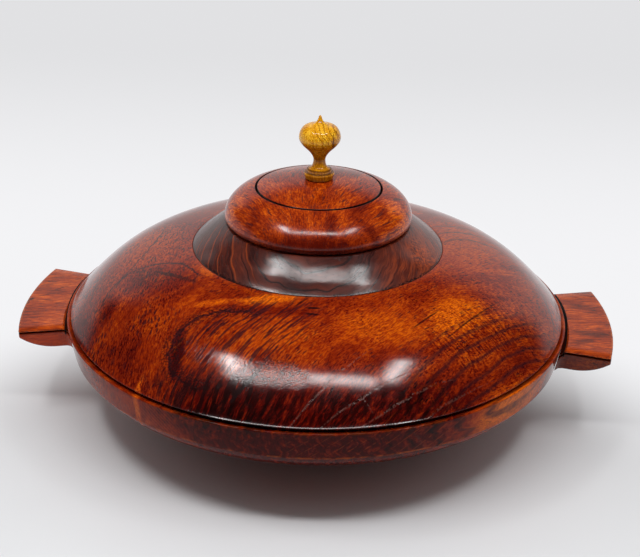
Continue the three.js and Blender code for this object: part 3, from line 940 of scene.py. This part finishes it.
def collar_hollow(wood, x, y, z):
    """The slight hollow in the collar's wall, as relief on its front."""
    top = top_of("collar_ring")
    leaning = wood.scaled(x, 0.06, z)
    below = wood.ease(leaning, top - 18.8, top - 9.8, 1.2, 0)
    above = wood.ease(leaning, top - 10.8, top - 1.3, 0, 1.6)
    return wood.times(wood.math("ADD", below, above), wood.ease(y, -30, -52))


def collar_wood():
    """Dark purple-brown ring whose growth layers lean down towards the front."""
    wood = Material("collar_wood", 0.2, 0.8)
    x, y, z = wood.split(wood.sway(wood.place, 0.06, 3))
    layers = wood.scaled(y, -0.45, z)
    layered = wood.join(x, layers, y)
    tone = wood.ease(wood.strands(layered, 0, 40, 5, 40, 3, 0.55), 0.34, 0.66, 0.34, 0.62)
    tone = wood.math("ADD", tone, wood.ease(x, 20, 70, 0, 0.26))
    fine = wood.strands(layered, 0, 14, 0.55, 9, 3, 0.62)
    tone = wood.times(tone, wood.ease(fine, 0.34, 0.66, 1.18, 0.8))
    pores = wood.pores(layered, 0, 3.2, 0.4, 0.45)
    base = wood.stained(wood.shades(tone, COLLAR_SHADES), collar_stains(wood, layers, pores))
    relief = wood.scaled(pores, -0.05, wood.times(fine, 0.035))
    relief = wood.math("ADD", relief, collar_hollow(wood, x, y, z))
    gloss = wood.gloss(wood.along(layered, 0, 30, 4, 30), 1, 0.2, 0.26)
    return wood.lacquer(base, relief, gloss, 0.55)


LID_SHADES = {0.0: (30, 4, 3), 0.3: (92, 16, 4), 0.6: (154, 48, 5), 1.0: (220, 100, 8)}

LID_BRIGHT = [
    ((-53, -20, 130), (12, 22, 20), -20, 0.8),
    ((52, -22, 130), (12, 20, 20), 20, 0.88),
    ((-28, -8, 145), (11, 5, 20), -10, 0.7),
    ((4, -50, 140), (40, 6, 20), 0, 0.5),
]

# Dark areas of the lid's figure; the first, along its lower front, is painted shade.
LID_DARK_AND_SHADE = [
    ((0, -62, 124), (60, 9, 8), 0, 0.5),
    ((34, -45, 130), (14, 3, 20), -20, 0.32),
    ((-40, -42, 132), (4, 17, 20), -30, 0.25),
    ((11, -52, 135), (3.4, 9, 20), 4, 0.4),
    ((28, -37, 138), (7, 10, 20), -35, 0.22),
]

LID_FAN_CENTRE = 88  # millimetres in front of the axis, where the lid's grain fans out from
LID_FAN_TURN = 55  # millimetres across the grain for one radian of the fan


def lid_wood():
    """Lid: orange-brown wood whose fine grain fans out from the front, with a dark ring line."""
    wood = Material("lid_wood", 0.25, 0.9)
    x, y, z = wood.split(wood.sway(wood.place, 0.05, 5))
    fan = wood.math("ARCTAN2", x, wood.math("ADD", y, LID_FAN_CENTRE))
    fanned = wood.join(wood.times(fan, LID_FAN_TURN), y, z)
    tone = wood.ease(wood.strands(fanned, 90, 26, 9, 14, 4, 0.6), 0.34, 0.68, 0.5, 0.72)
    tone = wood.patches(tone, LID_BRIGHT, LID_DARK_AND_SHADE)
    fine = wood.strands(fanned, 90, 6, 0.7, 1.2, 4, 0.68)
    tone = wood.times(tone, wood.ease(fine, 0.34, 0.66, 1.25, 0.68))
    mottle = wood.noise(wood.place, 0.75, 3, 0.65)
    tone = wood.times(tone, wood.ease(mottle, 0.4, 0.62, 1.06, 0.84))
    streaks = wood.ease(wood.strands(fanned, 90, 12, 1.1, 3, 3, 0.6), 0.57, 0.64)
    pores = wood.pores(fanned, 90, 2.2, 0.4, 0.45)
    from_ring = wood.gap(wood.radius(), reach_of("lid_disc") + 0.1)
    base = wood.stained(wood.shades(tone, LID_SHADES), [
        (streaks, 0.7, (56, 24, 26)),
        (pores, 0.6, (40, 12, 10)),
        # The ring line is painted shade in the groove where the disc meets the lid.
        (wood.ease(from_ring, 1.05, 0.7), 0.98, (10, 2, 2)),
    ])
    relief = wood.scaled(pores, -0.02, wood.times(fine, 0.012))
    return wood.lacquer(base, relief, wood.gloss(wood.place, 0.1, 0.15, 0.2), 0.37)


FINIAL_SHADES = {0.0: (74, 34, 4), 0.35: (150, 84, 8), 0.7: (214, 144, 18), 1.0: (244, 190, 52)}

# Rings of painted shade round the knob's stem: height above the disc and half the width, in millimetres.
FINIAL_SHADE_RINGS = [(0.5, 0.5), (5.0, 0.5), (6.8, 0.35)]
FINIAL_MIDDLE = 0.63  # of the knob's height, where the bulb is widest


def finial_wood():
    """Knob: golden wood, browner below the bulb's middle, with dark streaks down its right side."""
    wood = Material("finial_wood")
    swayed = wood.sway(wood.place, 0.12, 1.6)
    x, _, z = wood.split(swayed)
    seat, tip = top_of("lid_disc"), top_of("finial")
    middle = seat + (tip - seat) * FINIAL_MIDDLE
    broad = wood.strands(swayed, 0, 5, 5, 9, 3, 0.5)
    tone = wood.ease(broad, 0.35, 0.65, 0.72, 0.95)
    tone = wood.times(tone, wood.ease(z, middle + 1, middle - 5, 1, 0.64))
    upright = wood.strands(swayed, 0, 0.8, 0.8, 12, 3, 0.6)
    tone = wood.times(tone, wood.ease(upright, 0.36, 0.66, 1.1, 0.66))

    slant = wood.scaled(wood.math("SUBTRACT", z, tip - 5), 0.75, x)
    above = wood.zone((5, -8, middle + 8), (8, 12, 9))
    stains = [
        (wood.times(wood.growth_lines(slant, 2.8, 0.14), above), 0.8, (100, 50, 6)),
        (wood.zone((9.2, -8, middle - 4), (0.7, 8, 9), 0, 0.6, 0.0, swayed), 0.8, (84, 40, 6)),
    ]
    for level, width in FINIAL_SHADE_RINGS:
        # painted shade in the stem's grooves and where the knob meets the disc
        ring = wood.ease(wood.gap(wood.z, seat + level), width, width / 2)
        stains.append((ring, 0.75, (70, 34, 4)))
    stains.append((wood.pores(wood.place, 20, 0.5, 0.3, 0.35), 0.4, (110, 60, 12)))
    base = wood.stained(wood.shades(tone, FINIAL_SHADES), stains)
    relief = wood.times(upright, 0.01)
    return wood.lacquer(base, relief, wood.ease(broad, 0.3, 0.7, 0.07, 0.11), 0.32)


# The object

def build_vessel():
    """Both halves of the body, the collar and the two handles."""
    bowl_wood = vessel_wood("bowl_wood", 0.1, 0.5)
    shoulder_wood = vessel_wood("shoulder_wood", 0.4, 1.0)
    turned_piece("bowl", "lower_bowl", "vessel", BODY_SIDES, 0.5 * MM, bowl_wood)
    turned_piece("shoulder", "upper_shoulder", "vessel", BODY_SIDES, 0.3 * MM, shoulder_wood)
    turned_piece("collar", "collar_ring", "vessel", BODY_SIDES, 0.5 * MM, collar_wood())
    # The last colour of each handle is its painted shading below the top: shade on the right, light on the
    # left.
    lug("lug_right", "handle_right", 0, handle_wood("right_handle_wood", 0, 0.93, (62, 8, 3)))
    lug("lug_left", "handle_left", math.pi, handle_wood("left_handle_wood", 140, 1.0, (180, 54, 8)))


def build_lid():
    """The lid, its raised disc and the knob."""
    wood = lid_wood()
    turned_piece("lid_shell", "lid_body", "lid", LID_SIDES, 0.4 * MM, wood)
    turned_piece("lid_centre", "lid_disc", "lid", LID_SIDES, 0.3 * MM, wood)
    turned_piece("knob", "finial", "lid", KNOB_SIDES, 0.35 * MM, finial_wood())


# The studio

CAMERA_DISTANCE = 0.7841  # from the turning axis, along the floor
CAMERA_HEIGHT = 0.4541
CAMERA_ROUND = math.radians(3.137)  # how far it stands to the right of straight in front
CAMERA_HEADING = math.radians(2.995)
CAMERA_DIP = math.radians(25.033)
CAMERA_ROLL = math.radians(1.193)
SENSOR = 36
LENS = SENSOR * 1300 / 640  # the picture is 640 pixels wide, and the lens 1300 pixels long


def add_camera():
    """The camera at the photograph's place and angle."""
    data = bpy.data.cameras.new("camera")
    data.sensor_width = SENSOR
    data.lens = LENS
    camera = bpy.data.objects.new("camera", data)
    bpy.context.scene.collection.objects.link(camera)
    place = Matrix.Translation((
        CAMERA_DISTANCE * math.sin(CAMERA_ROUND),
        -CAMERA_DISTANCE * math.cos(CAMERA_ROUND),
        CAMERA_HEIGHT,
    ))
    heading = Matrix.Rotation(CAMERA_HEADING, 4, "Z")
    dip = Matrix.Rotation(math.pi / 2 - CAMERA_DIP, 4, "X")
    roll = Matrix.Rotation(CAMERA_ROLL, 4, "Z")
    camera.matrix_world = place @ heading @ dip @ roll
    bpy.context.scene.camera = camera


LAMP_HEIGHT = 0.647
LAMP_FADE = 0.05  # width of the edge over which a lamp fades out


def soft_box(name, centre, size, radiance):
    """A rectangular lamp above the vessel that shines straight down and fades towards its edges."""
    data = bpy.data.lights.new(name, "AREA")
    data.shape = "RECTANGLE"
    data.size, data.size_y = size
    data.energy = math.pi * size[0] * size[1]
    shader = Shader(data)
    shares = shader.split(shader.node("NewGeometry", {}).outputs["Parametric"])
    edges = [
        shader.ease(shader.gap(share, 0.5), 0.5, 0.5 - LAMP_FADE / width)
        for share, width in zip(shares[:2], size)
    ]
    strength = shader.times(shader.times(*edges), radiance)
    shader.feed(shader.nodes["Emission"].inputs["Strength"], strength)
    lamp = bpy.data.objects.new(name, data)
    lamp.location = centre
    bpy.context.scene.collection.objects.link(lamp)


def add_lamps():
    """A wide front lamp and two narrow side lamps, in a U open to the back."""
    soft_box("front_lamp", (0.005, -0.31, LAMP_HEIGHT), (0.56, 0.12), 17.5)
    soft_box("left_lamp", (-0.292, -0.222, LAMP_HEIGHT), (0.11, 0.25), 32)
    soft_box("right_lamp", (0.315, -0.2, LAMP_HEIGHT), (0.11, 0.24), 24)


def background_share(shader):
    """1 for the rays that should see the pale background: camera, glossy and transmission rays."""
    rays = shader.node("LightPath", {}).outputs
    seen = shader.most(rays["Is Camera Ray"], rays["Is Glossy Ray"])
    return shader.most(seen, rays["Is Transmission Ray"])


FILL = 0.64  # soft light from above, from the back and from the sides
WALL = 0.62  # brightness of the pale wall


def add_world():
    """Even light on everything, and a pale wall low down all round and higher up at the back."""
    world = bpy.data.worlds.new("studio")
    bpy.context.scene.world = world
    shader = Shader(world)
    # A direction has length one and runs to the right, to the back and up.
    x, y, z = shader.split(shader.node("TexCoord", {}).outputs["Generated"])
    sides = shader.ease(y, -0.35, 0.0)
    low_wall = shader.times(sides, shader.ease(z, 0.26, 0.12))
    behind = shader.ease(shader.math("SUBTRACT", shader.math("ABSOLUTE", x), y), 0.2, -0.15)
    back_wall = shader.times(behind, shader.ease(z, 0.66, 0.36))
    wall = shader.ease(shader.most(low_wall, back_wall), 0, 1, 0.02, WALL)
    sideways = shader.times(shader.math("ABSOLUTE", x), 0.9)
    height = shader.math("ADD", shader.scaled(y, 1.1, z), sideways)
    above = shader.ease(height, 0.15, 1.15, 0.03, FILL)
    above = shader.times(above, shader.ease(z, 0.0, 0.35))
    strength = shader.blend(background_share(shader), above, wall)
    background = shader.nodes["Background"]
    background.inputs["Color"].default_value = (1, 1, 1, 1)
    shader.feed(background.inputs["Strength"], strength)


FLOOR_RADIUS = 4.0
PAPER_DARK = (0.71, 0.715, 0.73, 1)
PAPER_LIGHT = (0.75, 0.755, 0.77, 1)
WHITE_FROM = 95  # millimetres behind the turning axis where the floor starts to turn white
WHITE_AT = 300


def add_floor():
    """A pale, slightly glossy floor that turns to plain white away from the vessel."""
    mesh = bmesh.new()
    bmesh.ops.create_circle(mesh, cap_ends=True, segments=96, radius=FLOOR_RADIUS)
    floor = new_object("floor", mesh)
    paper = Material("floor_paper")
    away = paper.scaled(paper.math("ABSOLUTE", paper.x), 0.9, paper.y)
    behind = paper.ease(away, WHITE_FROM, WHITE_AT)
    base = paper.mix(paper.noise(paper.place, 0.01, 2), PAPER_DARK, PAPER_LIGHT)
    paper.feed(paper.surface.inputs["Base Color"], base)
    paper.surface.inputs["Roughness"].default_value = 0.4
    glow = paper.ease(paper.y, 200, 900, 0.92, 0.77)
    white = paper.node("Emission", {"Color": (0.98, 0.98, 1.0, 1), "Strength": glow}).outputs[0]
    share = paper.times(behind, background_share(paper))
    mixed = paper.node("MixShader", {0: share, 1: paper.surface.outputs[0], 2: white})
    paper.feed(paper.nodes["Material Output"].inputs["Surface"], mixed.outputs[0])
    floor.data.materials.append(paper.owner)


build_vessel()
build_lid()
add_camera()
add_lamps()
add_world()
add_floor()
bpy.context.scene.view_settings.view_transform = "Standard"
